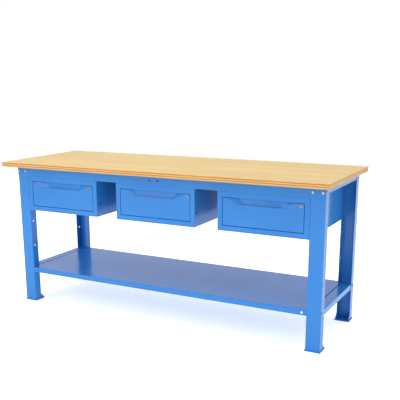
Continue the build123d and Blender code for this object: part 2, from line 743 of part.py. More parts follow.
# ---- lock
def lock_point(centre, y):
    """The point on a lock's axis at one distance from front to back."""
    return (centre + LOCK_OFFSET, y, LOCK_HEIGHT)


def make_lock_barrel(centre):
    """The fixed sleeve, with a bezel in front of the drawer front."""
    bezel_face = FRONT_FACE - BEZEL_THICKNESS
    barrel = rod(lock_point(centre, bezel_face), (0, 1, 0), BEZEL_RADIUS, BEZEL_THICKNESS)
    barrel += rod(lock_point(centre, FRONT_FACE), (0, 1, 0), BARREL_RADIUS, BARREL_LENGTH)
    bore = lock_point(centre, bezel_face - 1)
    length = BEZEL_THICKNESS + BARREL_LENGTH + 2
    return barrel - rod(bore, (0, 1, 0), PLUG_RADIUS + PLUG_CLEARANCE, length)


def make_lock_nut(centre):
    """The nut that clamps the sleeve from behind the sheet."""
    start = lock_point(centre, FRONT_FACE + FRONT_SHEET)
    nut = hexagon(start, (0, 1, 0), LOCK_NUT_ACROSS_FLATS, LOCK_NUT_THICKNESS)
    return nut - rod(start, (0, 1, 0), BARREL_RADIUS + THREAD_CLEARANCE, LOCK_NUT_THICKNESS)


def make_lock_plug(centre):
    """The turning plug, with a keyway at its front and a neck for the cam behind."""
    face = FRONT_FACE - BEZEL_THICKNESS - PLUG_PROUD
    plug = rod(lock_point(centre, face), (0, 1, 0), PLUG_RADIUS, BARREL_END - face)
    plug += rod(lock_point(centre, BARREL_END), (0, 1, 0), NECK_RADIUS, NECK_LENGTH)
    x, y, z = lock_point(centre, face)
    return plug - block(
        (x - KEYWAY_WIDTH / 2, x + KEYWAY_WIDTH / 2),
        (y - 1, y + KEYWAY_DEPTH),
        (z - KEYWAY_HEIGHT / 2, z + KEYWAY_HEIGHT / 2),
    )


def make_lock_cam(centre):
    """The latch arm: level when unlocked, upright behind the housing's border when locked."""
    x, y, z = lock_point(centre, BARREL_END + CAM_GAP)
    thickness = (y, y + CAM_THICKNESS)
    cam = block((x - CAM_REACH, x), thickness, (z - CAM_WIDTH / 2, z + CAM_WIDTH / 2))
    cam += rod((x, y, z), (0, 1, 0), CAM_WIDTH / 2, CAM_THICKNESS)
    bore = (x, y - 1, z)
    return cam - rod(bore, (0, 1, 0), NECK_RADIUS + THREAD_CLEARANCE, CAM_THICKNESS + 2)


# ---- files
def save_corners(name, shape):
    """Save a front right piece and its copies at the other three corners."""
    rear = mirror(shape, about=FRONT_TO_REAR)
    save(shape, f"{name}_front_right")
    save(mirror(shape, about=RIGHT_TO_LEFT), f"{name}_front_left")
    save(rear, f"{name}_rear_right")
    save(mirror(rear, about=RIGHT_TO_LEFT), f"{name}_rear_left")


def save_sides(name, shape):
    """Save a right-hand piece and its mirror image."""
    save(shape, f"{name}_right")
    save(mirror(shape, about=RIGHT_TO_LEFT), f"{name}_left")


def save_frame():
    """Save the worktop, the frame, the shelf and their fasteners."""
    save(make_worktop(), "worktop")
    save_corners("leg", make_front_right_leg())
    save_corners("foot", make_front_right_foot())
    save(make_front_apron(), "front_apron")
    save(make_rear_apron(), "rear_apron")
    save_sides("upper_rail", make_right_upper_rail())
    save_sides("lower_rail", make_right_lower_rail())
    save(make_shelf(), "shelf")
    save(make_stiffeners(), "shelf_stiffeners")
    seats = frame_bolt_seats()
    save(Compound(children=[both_sides(hex_bolt(*seat)) for seat in seats]), "frame_bolts")
    save(Compound(children=[both_sides(hex_nut(*seat)) for seat in seats]), "frame_nuts")
    save(make_worktop_screws(), "worktop_screws")
    save(make_housing_screws(), "housing_screws")


def save_drawer(name, centre):
    """Save one drawer with its housing, runners and lock."""
    save(make_housing(centre), f"housing_{name}")
    save(make_outer_runners(centre), f"outer_runners_{name}")
    save(make_mid_runners(centre), f"mid_runners_{name}")
    save(make_inner_runners(centre), f"inner_runners_{name}")
    mid_reach = (MID_LIP_GAP, MID_LIP_GAP + MID_REACH)
    mid_strips = glide_strips(mid_reach, MID_HEIGHT, RUNNER_HEIGHT)
    save(make_glides(mid_strips, centre), f"mid_glides_{name}")
    inner_strips = glide_strips((RUNNER_SHEET, INNER_REACH), INNER_HEIGHT, MID_HEIGHT)
    save(make_glides(inner_strips, centre), f"inner_glides_{name}")
    save(make_tray(centre), f"tray_{name}")
    save(make_drawer_front(centre), f"drawer_front_{name}")
    save(make_lock_barrel(centre), f"lock_barrel_{name}")
    save(make_lock_nut(centre), f"lock_nut_{name}")
    save(make_lock_plug(centre), f"lock_plug_{name}")
    save(make_lock_cam(centre), f"lock_cam_{name}")


os.makedirs("parts", exist_ok=True)
save_frame()
for drawer_name in DRAWER_NAMES:
    save_drawer(drawer_name, HOUSING_CENTRES[drawer_name])
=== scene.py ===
import bpy, bmesh, math
from mathutils import Matrix, Vector


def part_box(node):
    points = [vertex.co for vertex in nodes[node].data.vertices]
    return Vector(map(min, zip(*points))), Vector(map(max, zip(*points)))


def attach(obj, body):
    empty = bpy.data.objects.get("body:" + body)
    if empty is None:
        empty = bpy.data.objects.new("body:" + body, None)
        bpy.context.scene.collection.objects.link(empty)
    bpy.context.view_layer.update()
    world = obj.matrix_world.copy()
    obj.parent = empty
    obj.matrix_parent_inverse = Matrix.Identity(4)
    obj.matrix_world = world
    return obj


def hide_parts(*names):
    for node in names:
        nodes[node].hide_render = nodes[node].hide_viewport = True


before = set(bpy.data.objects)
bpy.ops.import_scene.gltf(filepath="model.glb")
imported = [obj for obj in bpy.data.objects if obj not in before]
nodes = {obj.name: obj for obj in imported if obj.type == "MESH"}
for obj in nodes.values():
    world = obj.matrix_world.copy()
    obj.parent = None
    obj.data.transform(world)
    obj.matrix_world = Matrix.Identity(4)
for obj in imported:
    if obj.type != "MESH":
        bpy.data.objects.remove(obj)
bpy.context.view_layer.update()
drawerSides = ("left", "centre", "right")
corners = ("front_left", "front_right", "rear_left", "rear_right")
print("frame loaded:", len(nodes), "nodes")


def linear(hexColour):
    # sRGB hex to the linear RGBA that nodes want
    parts = [int(hexColour[i:i + 2], 16) / 255 for i in (1, 3, 5)]
    return [p / 12.92 if p <= 0.04045 else ((p + 0.055) / 1.055) ** 2.4 for p in parts] + [1]


def node(tree, kind, links=None, stops=None, **settings):
    # adds one node: settings are properties or inputs by name, links feed its inputs,
    # and stops are the places and colours of a ramp
    made = tree.nodes.new(kind)
    for name, value in settings.items():
        if hasattr(made, name):
            setattr(made, name, value)
        else:
            made.inputs[name.replace("_", " ")].default_value = value
    for name, source in (links or {}).items():
        tree.links.new(source, made.inputs[name])
    if stops:
        while len(made.color_ramp.elements) < len(stops):
            made.color_ramp.elements.new(1)
        for element, (place, colour) in zip(made.color_ramp.elements, stops):
            element.position = place
            element.color = linear(colour)
    return made


def newMaterial(name):
    made = bpy.data.materials.new(name)
    made.use_nodes = True
    tree = made.node_tree
    return made, tree, tree.nodes["Principled BSDF"]


# camera, floor and lights

cameraPlace = {
    "position": (1.936, -3.439, 1.369),   # metres, to the right of the bench and above it
    "heading": 29.2,                      # degrees to the left of straight ahead
    "tilt": 14.4,                         # degrees down
    "roll": -0.55,
    "lens": 62.3,
    "shift": (0.05, 0.131),
}

studio = {
    "world": "#FFFFFF",
    "worldStrength": 1.0,
    "floorSize": 14,
    "floorColour": "#FFFFFF",
    "floorGlow": 0.45,      # light coming up through the table
    # name: (position, size, watts, colour, what it aims at)
    "lamps": {
        "key": ((-2.4, -4.4, 2.8), 2.6, 72, "#FFFAF4", (0, 0, 0.5)),
        "top": ((0.0, -0.4, 3.6), 2.6, 42, "#FFFFFF", (0, 0, 0.8)),
        "rightFill": ((4.6, -3.2, 2.4), 2.6, 8, "#F4F7FF", (0.2, 0, 0.6)),
        "lowFill": ((1.5, -4.2, 0.7), 2.4, 20, "#FFFFFF", (-0.6, 0.2, 0.3)),
    },
}


def makeCamera():
    data = bpy.data.cameras.new("camera")
    data.sensor_width = 36
    data.lens = cameraPlace["lens"]
    data.shift_x, data.shift_y = cameraPlace["shift"]
    camera = bpy.data.objects.new("camera", data)
    turn = (Matrix.Rotation(math.radians(cameraPlace["heading"]), 4, "Z")
            @ Matrix.Rotation(math.radians(90 - cameraPlace["tilt"]), 4, "X")
            @ Matrix.Rotation(math.radians(cameraPlace["roll"]), 4, "Z"))
    camera.matrix_world = Matrix.Translation(cameraPlace["position"]) @ turn
    bpy.context.collection.objects.link(camera)
    bpy.context.scene.camera = camera


def makeStudio():
    scene = bpy.context.scene
    scene.view_settings.view_transform = "Standard"   # paint colours come out as they are given
    scene.world = bpy.data.worlds.new("studio")
    scene.world.use_nodes = True
    sky = scene.world.node_tree.nodes["Background"]
    sky.inputs["Color"].default_value = linear(studio["world"])
    sky.inputs["Strength"].default_value = studio["worldStrength"]

    # floor: white translucent paper over a light table, matt, faintly fibrous
    paper, tree, shader = newMaterial("studioPaper")
    shader.inputs["Emission Color"].default_value = linear(studio["floorColour"])
    shader.inputs["Emission Strength"].default_value = studio["floorGlow"]
    place = node(tree, "ShaderNodeTexCoord").outputs["Object"]
    fibre = node(tree, "ShaderNodeTexNoise", {"Vector": place}, Scale=90, Detail=4)
    shader.inputs["Base Color"].default_value = linear(studio["floorColour"])
    shader.inputs["Roughness"].default_value = 0.9
    bump = node(tree, "ShaderNodeBump", {"Height": fibre.outputs["Fac"]}, Strength=0.05, Distance=0.001)
    tree.links.new(bump.outputs["Normal"], shader.inputs["Normal"])
    bm = bmesh.new()
    bmesh.ops.create_grid(bm, x_segments=1, y_segments=1, size=studio["floorSize"] / 2)
    mesh = bpy.data.meshes.new("floor")
    bm.to_mesh(mesh)
    bm.free()
    mesh.materials.append(paper)
    floor = bpy.data.objects.new("floor", mesh)
    bpy.context.collection.objects.link(floor)

    for name, (position, size, watts, colour, target) in studio["lamps"].items():
        data = bpy.data.lights.new(name, "AREA")
        data.size = size
        data.energy = watts
        data.color = linear(colour)[:3]
        lamp = bpy.data.objects.new(name, data)
        aim = (Vector(target) - Vector(position)).to_track_quat("-Z", "Y")
        lamp.matrix_world = Matrix.Translation(position) @ aim.to_matrix().to_4x4()
        bpy.context.collection.objects.link(lamp)


makeCamera()
makeStudio()
print("camera, floor and lights made")


# materials

paintLook = {
    "blue": ("#246EB6", "#2975BE"),
    "roughness": (0.17, 0.25),
    "reflection": 0.30,     # a little below a clear varnish
    "peelSize": 0.009,      # metres from crest to crest; really about 2 mm, drawn coarser to show
    "sheetWave": 0.16,      # slow hollows left in thin sheet by folding and welding
    "toneSize": 0.3,
    "filmSize": 0.06,       # patches of thicker and thinner powder
}


def makePowderCoat():
    # steel sheet sprayed with polyester powder and baked: an even, semi-gloss colour whose skin
    # has the fine dimples of orange peel, over sheet that isn't perfectly flat
    made, tree, shader = newMaterial("bluePowderCoat")
    shader.inputs["Specular IOR Level"].default_value = paintLook["reflection"]
    place = node(tree, "ShaderNodeTexCoord").outputs["Object"]
    cloud = node(tree, "ShaderNodeTexNoise", {"Vector": place}, Scale=1 / paintLook["toneSize"], Detail=3)
    tone = node(tree, "ShaderNodeValToRGB", {"Fac": cloud.outputs["Fac"]},
                stops=[(0.3, paintLook["blue"][0]), (0.7, paintLook["blue"][1])])
    tree.links.new(tone.outputs["Color"], shader.inputs["Base Color"])
    film = node(tree, "ShaderNodeTexNoise", {"Vector": place}, Scale=1 / paintLook["filmSize"], Detail=4)
    gloss = node(tree, "ShaderNodeMapRange", {"Value": film.outputs["Fac"]}, From_Min=0.3, From_Max=0.7,
                 To_Min=paintLook["roughness"][0], To_Max=paintLook["roughness"][1])
    tree.links.new(gloss.outputs["Result"], shader.inputs["Roughness"])
    wave = node(tree, "ShaderNodeTexNoise", {"Vector": place}, Scale=1 / paintLook["sheetWave"], Detail=1)
    hollows = node(tree, "ShaderNodeBump", {"Height": wave.outputs["Fac"]}, Strength=0.35, Distance=0.0012)
    peel = node(tree, "ShaderNodeTexNoise", {"Vector": place}, Scale=1 / paintLook["peelSize"], Detail=1)
    skin = node(tree, "ShaderNodeBump",
                {"Height": peel.outputs["Fac"], "Normal": hollows.outputs["Normal"]},
                Strength=0.12, Distance=0.0002)
    tree.links.new(skin.outputs["Normal"], shader.inputs["Normal"])
    return made


woodLook = {
    "face": ("#BC9A52", "#C5A660", "#CDB16E"),   # rotary-cut beech under clear varnish
    "fleck": "#A98344",
    "longPly": ("#BB944C", "#C6A15E"),
    "endPly": ("#935F2B", "#A36C38"),
    "plies": 5,             # really about 15 of 1.9 mm, drawn as 5 so the layers show
    "plyWaver": 0.15,       # how far a layer wanders, in plies
    "staveSize": 0.13,
    "growthSize": (1.1, 0.035),     # metres along and across the grain
    "fleckSize": (0.055, 0.0045),   # metres along and across the grain, drawn about four times real size
}


def makeBeechPlywood(thickness, top):
    # beech plywood, sanded and varnished: pale faces with short flecks along the bench, and
    # edges where every second layer shows its darker end grain
    made, tree, shader = newMaterial("beechPlywood")
    coords = node(tree, "ShaderNodeTexCoord")
    place = coords.outputs["Object"]
    long, fine = woodLook["fleckSize"]
    stretched = node(tree, "ShaderNodeMapping", {"Vector": place}, Scale=(1 / long, 1 / fine, 1 / fine))
    flecks = node(tree, "ShaderNodeTexNoise", {"Vector": stretched.outputs["Vector"]}, Scale=1, Detail=3)
    streak, ring = woodLook["growthSize"]
    growth = node(tree, "ShaderNodeMapping", {"Vector": place}, Scale=(1 / streak, 1 / ring, 1 / ring))
    bands = node(tree, "ShaderNodeTexNoise", {"Vector": growth.outputs["Vector"]},
                 Scale=1, Detail=4, Distortion=0.6)
    face = node(tree, "ShaderNodeValToRGB", {"Fac": bands.outputs["Fac"]},
                stops=list(zip((0.30, 0.50, 0.72), woodLook["face"])))
    fleckAmount = node(tree, "ShaderNodeMapRange", {"Value": flecks.outputs["Fac"]},
                       From_Min=0.52, From_Max=0.78, To_Max=0.55)
    fleckMix = node(tree, "ShaderNodeMix",
                    {"Factor": fleckAmount.outputs["Result"], "A": face.outputs["Color"]}, data_type="RGBA")
    fleckMix.inputs[7].default_value = linear(woodLook["fleck"])

    # layers across the thickness: a triangle wave, so that whole plies alternate
    split = node(tree, "ShaderNodeSeparateXYZ", {"Vector": place})
    ply = thickness / woodLook["plies"]
    waver = node(tree, "ShaderNodeTexNoise", {"Vector": place}, Scale=9, Detail=2)
    wander = node(tree, "ShaderNodeMath", {0: waver.outputs["Fac"]}, operation="MULTIPLY_ADD")
    wander.inputs[1].default_value = ply * woodLook["plyWaver"]
    wander.inputs[2].default_value = -top
    depth = node(tree, "ShaderNodeMath", {0: split.outputs["Z"], 1: wander.outputs[0]}, operation="ADD")
    count = node(tree, "ShaderNodeMath", {0: depth.outputs[0]}, operation="DIVIDE")
    count.inputs[1].default_value = ply
    swing = node(tree, "ShaderNodeMath", {0: count.outputs[0]}, operation="PINGPONG")
    swing.inputs[1].default_value = 1
    wide = woodLook["staveSize"]
    staveMap = node(tree, "ShaderNodeMapping", {"Vector": place}, Scale=(1 / wide, 1 / wide, 1 / ply))
    stave = node(tree, "ShaderNodeTexNoise", {"Vector": staveMap.outputs["Vector"]}, Scale=1, Detail=2)
    longTone = node(tree, "ShaderNodeValToRGB", {"Fac": stave.outputs["Fac"]},
                    stops=list(zip((0.35, 0.65), woodLook["longPly"])))
    endTone = node(tree, "ShaderNodeValToRGB", {"Fac": stave.outputs["Fac"]},
                   stops=list(zip((0.35, 0.65), woodLook["endPly"])))
    which = node(tree, "ShaderNodeMapRange", {"Value": swing.outputs[0]}, From_Min=0.40, From_Max=0.60)
    layers = node(tree, "ShaderNodeMix", {"Factor": which.outputs["Result"]}, data_type="RGBA")
    tree.links.new(longTone.outputs["Color"], layers.inputs[6])
    tree.links.new(endTone.outputs["Color"], layers.inputs[7])

    # flat faces take the veneer, everything upright takes the layers
    upright = node(tree, "ShaderNodeSeparateXYZ", {"Vector": coords.outputs["Normal"]})
    level = node(tree, "ShaderNodeMath", {0: upright.outputs["Z"]}, operation="ABSOLUTE")
    isFace = node(tree, "ShaderNodeMapRange", {"Value": level.outputs[0]}, From_Min=0.55, From_Max=0.75)
    colour = node(tree, "ShaderNodeMix", {"Factor": isFace.outputs["Result"]}, data_type="RGBA")
    tree.links.new(layers.outputs[2], colour.inputs[6])
    tree.links.new(fleckMix.outputs[2], colour.inputs[7])
    tree.links.new(colour.outputs[2], shader.inputs["Base Color"])

    sheen = node(tree, "ShaderNodeMapRange", {"Value": flecks.outputs["Fac"]}, To_Min=0.34, To_Max=0.50)
    tree.links.new(sheen.outputs["Result"], shader.inputs["Roughness"])
    grain = node(tree, "ShaderNodeBump", {"Height": flecks.outputs["Fac"]}, Strength=0.25, Distance=0.0003)
    tree.links.new(grain.outputs["Normal"], shader.inputs["Normal"])
    return made


zincLook = {
    "tones": ("#98A1AB", "#A6AAAD", "#ACA99F"),
    "patchSize": 0.012,
    "pitSize": 0.0015,
    "roughness": (0.22, 0.40),
}


def makeZincPlate():
    # steel fasteners and cams, electroplated with zinc and passivated: bright, slightly hazy,
    # with patches that lean to blue and to straw
    made, tree, shader = newMaterial("brightZincPlate")
    place = node(tree, "ShaderNodeTexCoord").outputs["Object"]
    patch = node(tree, "ShaderNodeTexNoise", {"Vector": place}, Scale=1 / zincLook["patchSize"], Detail=3)
    tone = node(tree, "ShaderNodeValToRGB", {"Fac": patch.outputs["Fac"]},
                stops=list(zip((0.3, 0.5, 0.7), zincLook["tones"])))
    tree.links.new(tone.outputs["Color"], shader.inputs["Base Color"])
    shader.inputs["Metallic"].default_value = 1
    haze = node(tree, "ShaderNodeMapRange", {"Value": patch.outputs["Fac"]},
                To_Min=zincLook["roughness"][0], To_Max=zincLook["roughness"][1])
    tree.links.new(haze.outputs["Result"], shader.inputs["Roughness"])
    pits = node(tree, "ShaderNodeTexNoise", {"Vector": place}, Scale=1 / zincLook["pitSize"], Detail=2)
    bump = node(tree, "ShaderNodeBump", {"Height": pits.outputs["Fac"]}, Strength=0.15, Distance=0.0001)
    tree.links.new(bump.outputs["Normal"], shader.inputs["Normal"])
    return made


runnerLook = {
    "tones": ("#A9AEB3", "#C8CCCF"),
    "lineSize": (0.0015, 0.25),     # metres across and along the travel
    "roughness": (0.28, 0.48),
}


def makeRunnerStrip():
    # pre-galvanised strip, cold rolled into channels: long draw lines run with the drawer's travel
    made, tree, shader = newMaterial("galvanisedRunnerStrip")
    place = node(tree, "ShaderNodeTexCoord").outputs["Object"]
    fine, long = runnerLook["lineSize"]
    drawn = node(tree, "ShaderNodeMapping", {"Vector": place}, Scale=(1 / fine, 1 / long, 1 / fine))
    lines = node(tree, "ShaderNodeTexNoise", {"Vector": drawn.outputs["Vector"]}, Scale=1, Detail=3)
    tone = node(tree, "ShaderNodeValToRGB", {"Fac": lines.outputs["Fac"]},
                stops=list(zip((0.3, 0.7), runnerLook["tones"])))
    tree.links.new(tone.outputs["Color"], shader.inputs["Base Color"])
    shader.inputs["Metallic"].default_value = 1
    rubbed = node(tree, "ShaderNodeMapRange", {"Value": lines.outputs["Fac"]},
                  To_Min=runnerLook["roughness"][0], To_Max=runnerLook["roughness"][1])
    tree.links.new(rubbed.outputs["Result"], shader.inputs["Roughness"])
    bump = node(tree, "ShaderNodeBump", {"Height": lines.outputs["Fac"]}, Strength=0.2, Distance=0.0001)
    tree.links.new(bump.outputs["Normal"], shader.inputs["Normal"])
    return made


chromeLook = {"tones": ("#7E8083", "#929291"), "swirlSize": 0.003, "roughness": (0.06, 0.16)}


def makeLockChrome():
    # die-cast lock, polished and chrome plated: mirror bright, with light polishing swirls
    made, tree, shader = newMaterial("polishedChrome")
    place = node(tree, "ShaderNodeTexCoord").outputs["Object"]
    swirl = node(tree, "ShaderNodeTexNoise", {"Vector": place},
                 Scale=1 / chromeLook["swirlSize"], Detail=5, Distortion=1.5)
    tone = node(tree, "ShaderNodeValToRGB", {"Fac": swirl.outputs["Fac"]},
                stops=list(zip((0.3, 0.7), chromeLook["tones"])))
    tree.links.new(tone.outputs["Color"], shader.inputs["Base Color"])
    shader.inputs["Metallic"].default_value = 1
    polish = node(tree, "ShaderNodeMapRange", {"Value": swirl.outputs["Fac"]},
                  To_Min=chromeLook["roughness"][0], To_Max=chromeLook["roughness"][1])
    tree.links.new(polish.outputs["Result"], shader.inputs["Roughness"])
    return made


nylonLook = {"tones": ("#DEDBCF", "#E9E7DE"), "milkSize": 0.02, "sparkSize": 0.001, "roughness": 0.45}


def makeNylon():
    # injection-moulded natural nylon: milky, waxy, with a fine spark-eroded texture
    made, tree, shader = newMaterial("naturalNylon")
    place = node(tree, "ShaderNodeTexCoord").outputs["Object"]
    milk = node(tree, "ShaderNodeTexNoise", {"Vector": place}, Scale=1 / nylonLook["milkSize"], Detail=2)
    tone = node(tree, "ShaderNodeValToRGB", {"Fac": milk.outputs["Fac"]},
                stops=list(zip((0.3, 0.7), nylonLook["tones"])))
    tree.links.new(tone.outputs["Color"], shader.inputs["Base Color"])
    shader.inputs["Roughness"].default_value = nylonLook["roughness"]
    spark = node(tree, "ShaderNodeTexNoise", {"Vector": place}, Scale=1 / nylonLook["sparkSize"], Detail=2)
    bump = node(tree, "ShaderNodeBump", {"Height": spark.outputs["Fac"]}, Strength=0.2, Distance=0.0001)
    tree.links.new(bump.outputs["Normal"], shader.inputs["Normal"])
    return made


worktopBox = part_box("worktop")
powderCoat = makePowderCoat()
finishes = {
    "plywood": makeBeechPlywood(worktopBox[1].z - worktopBox[0].z, worktopBox[1].z),
    "blue_paint": powderCoat,
    "tray_paint": powderCoat,
    "zinc_plated_steel": makeZincPlate(),
    "runner_steel": makeRunnerStrip(),
    "lock_chrome": makeLockChrome(),
    "glide_plastic": makeNylon(),
}
print("materials made:", len(set(finishes.values())))


# ways of making a piece

edgeLook = {
    "rim": 0.0004,        # rounding of a cut sheet edge, metres
    "smooth": 40,         # degrees below which faces shade as one
}
overrun = 0.01            # how far a cutter passes through, metres
mergeDistance = 0.00001   # points nearer than this count as one
searchDistance = 0.0005   # slack when a face or edge is looked for by its place


def meshObject(name, bm):
    mesh = bpy.data.meshes.new(name)
    bm.to_mesh(mesh)
    bm.free()
    made = bpy.data.objects.new(name, mesh)
    bpy.context.collection.objects.link(made)
    return made


def finishPiece(piece, slot, body, replaced, rim=edgeLook["rim"]):
    # rounds what is left sharp, shades it, and gives the piece its paint, body and CAD nodes
    mesh = piece.data
    mesh.materials.clear()
    mesh.materials.append(finishes[slot])
    mesh.shade_smooth()
    if rim:
        bevel = piece.modifiers.new("rim", "BEVEL")
        bevel.width = rim
        bevel.segments = 2
        bevel.limit_method = "ANGLE"
        bevel.angle_limit = math.radians(edgeLook["smooth"])
        bevel.harden_normals = True
    else:
        mesh.set_sharp_from_angle(angle=math.radians(edgeLook["smooth"]))
    flat = piece.modifiers.new("flat", "WEIGHTED_NORMAL")
    flat.keep_sharp = True
    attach(piece, body)
    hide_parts(*replaced)
    return piece


def carve(piece, cutter):
    # takes the cutter out of the piece for good
    step = piece.modifiers.new("carve", "BOOLEAN")
    step.operation = "DIFFERENCE"
    step.solver = "EXACT"
    step.object = cutter
    seen = piece.evaluated_get(bpy.context.evaluated_depsgraph_get())
    piece.modifiers.clear()
    piece.data = bpy.data.meshes.new_from_object(seen)
    bpy.data.objects.remove(cutter)


def roundEdges(bm, edges, radius, segments=3):
    bmesh.ops.bevel(bm, geom=edges, offset=radius, offset_type="OFFSET", segments=segments, profile=0.5,
                    affect="EDGES", material=-1, clamp_overlap=True)


def uprightEdges(bm):
    return [edge for edge in bm.edges if abs(edge.verts[0].co.z - edge.verts[1].co.z) > 0.001]


def addBlock(bm, low, high):
    # a block between two corners
    low, high = Vector(low), Vector(high)
    place = Matrix.Translation((low + high) / 2) @ Matrix.Diagonal((*(high - low), 1))
    bmesh.ops.create_cube(bm, size=1, matrix=place)


def addRod(bm, start, direction, radius, length, sides=20):
    # a round bar from a point along a direction
    direction = Vector(direction)
    turn = direction.to_track_quat("Z", "Y").to_matrix().to_4x4()
    place = Matrix.Translation(Vector(start) + direction * length / 2) @ turn
    return bmesh.ops.create_cone(bm, cap_ends=True, segments=sides, radius1=radius, radius2=radius,
                                 depth=length, matrix=place)["verts"]


def bevelFolds(bm, offset, segments=3):
    # rounds every fold of folded sheet, leaving its free edges alone
    folds = [edge for edge in bm.edges if len(edge.link_faces) == 2 and edge.calc_face_angle(0) > 0.6]
    roundEdges(bm, folds, offset, segments)


def addFold(bm, outline, run, thickness, bend):
    # sheet folded along an outline and pulled out along a straight run: the outline is its outer
    # face, and the thickness goes towards the outline's middle
    sheet = bmesh.new()
    points = [sheet.verts.new(point) for point in outline]
    wire = [sheet.edges.new(pair) for pair in zip(points, points[1:])]
    pulled = bmesh.ops.extrude_edge_only(sheet, edges=wire)["geom"]
    ends = [item for item in pulled if isinstance(item, bmesh.types.BMVert)]
    bmesh.ops.translate(sheet, verts=ends, vec=Vector(run))
    bmesh.ops.recalc_face_normals(sheet, faces=sheet.faces)
    sheet.normal_update()
    first = points[0].link_faces[0]
    middle = sum((Vector(point) for point in outline), Vector()) / len(outline) + Vector(run) / 2
    if first.normal.dot(middle - first.calc_center_median()) > 0:
        bmesh.ops.reverse_faces(sheet, faces=sheet.faces)
    bevelFolds(sheet, bend, segments=4)
    sheet.normal_update()
    bmesh.ops.solidify(sheet, geom=list(sheet.faces), thickness=thickness)
    mesh = bpy.data.meshes.new("fold")
    sheet.to_mesh(mesh)
    sheet.free()
    bm.from_mesh(mesh)
    bpy.data.meshes.remove(mesh)


def islands(nodeName):
    # the boxes of a CAD node's separate solids
    bm = bmesh.new()
    bm.from_mesh(nodes[nodeName].data)
    bmesh.ops.remove_doubles(bm, verts=bm.verts, dist=mergeDistance)
    left = set(bm.verts)
    boxes = []
    while left:
        group, edge = set(), [left.pop()]
        while edge:
            vertex = edge.pop()
            group.add(vertex)
            near = {e.other_vert(vertex) for e in vertex.link_edges} & left
            left -= near
            edge += near
        low = Vector([min(v.co[i] for v in group) for i in range(3)])
        high = Vector([max(v.co[i] for v in group) for i in range(3)])
        boxes.append((low, high))
    bm.free()
    return sorted(boxes, key=lambda pair: tuple(round(value, 4) for value in pair[0]))


# worktop

worktopLook = {"cornerRadius": 0.003, "edgeRadius": 0.0012}


def makeWorktop():
    low, high = worktopBox
    bm = bmesh.new()
    addBlock(bm, low, high)
    roundEdges(bm, uprightEdges(bm), worktopLook["cornerRadius"], 5)
    sharp = [edge for edge in bm.edges if edge.calc_face_angle(0) > 1]
    roundEdges(bm, sharp, worktopLook["edgeRadius"])
    finishPiece(meshObject("plywoodWorktop", bm), "plywood", "frame", ["worktop"], rim=0)


makeWorktop()
print("worktop made")


# legs and feet

legLook = {
    "sheet": 0.002,
    "bend": 0.0035,           # outside radius of a fold
    "holeRadius": 0.0045,
    "holeSetback": 0.021,     # from the leg's face to the row of holes
    "firstHole": 0.204,
    "holePitch": 0.152,
    "holes": 4,
}
footLook = {
    "cornerRadius": 0.005,
    "gussetSheet": 0.002,
    "gussetHeight": 0.030,
    "beadRadius": 0.0022,     # fillet weld round the leg's foot
    "beadStep": 0.004,        # ripple of the weld
    "beadWaist": 0.72,        # how far a ripple narrows
    "beadLift": 0.2,          # in bead radii, from the plate up to its line
    "beadOut": 0.4,           # in bead radii, from the leg's wall out to its line
    "gussetBead": 0.7,        # a gusset's bead beside the leg's
    "gussetBeadShort": 0.004, # where it stops, before the gusset's tip
    "anchorRadius": 0.006,
}


def makeLeg(corner):
    low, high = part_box("leg_" + corner)
    face, back = (low.y, high.y) if "front" in corner else (high.y, low.y)
    inward = 1 if back > face else -1
    bm = bmesh.new()
    ends = (low.x, high.x) if inward > 0 else (high.x, low.x)
    outline = [(ends[0], back, low.z), (ends[0], face, low.z),
               (ends[1], face, low.z), (ends[1], back, low.z)]
    addFold(bm, outline, (0, 0, high.z - low.z), legLook["sheet"], legLook["bend"])
    leg = meshObject("leg_" + corner.replace("_", "."), bm)
    bm = bmesh.new()
    for i in range(legLook["holes"]):
        height = legLook["firstHole"] + i * legLook["holePitch"]
        start = (low.x - overrun, face + inward * legLook["holeSetback"], height)
        addRod(bm, start, (1, 0, 0), legLook["holeRadius"], high.x - low.x + 2 * overrun)
    carve(leg, meshObject("legHoles", bm))
    finishPiece(leg, "blue_paint", "frame", ["leg_" + corner])


def addBead(bm, start, end, radius):
    # a fillet weld: a thin bar whose rings swell and shrink with each ripple
    start, end = Vector(start), Vector(end)
    length = (end - start).length
    steps = max(3, round(length / footLook["beadStep"]))
    rod = addRod(bm, start, (end - start) / length, radius, length, sides=8)
    long = [edge for edge in {e for v in rod for e in v.link_edges}
            if abs((edge.verts[0].co - edge.verts[1].co).length - length) < length * 0.01]
    cut = bmesh.ops.subdivide_edges(bm, edges=long, cuts=2 * steps - 1, use_grid_fill=True)
    axis = (end - start) / length
    for vertex in [item for item in cut["geom_inner"] if isinstance(item, bmesh.types.BMVert)]:
        along = (vertex.co - start).dot(axis)
        ring = round(along / length * 2 * steps)
        if ring % 2:
            centre = start + axis * along
            vertex.co = centre + (vertex.co - centre) * footLook["beadWaist"]


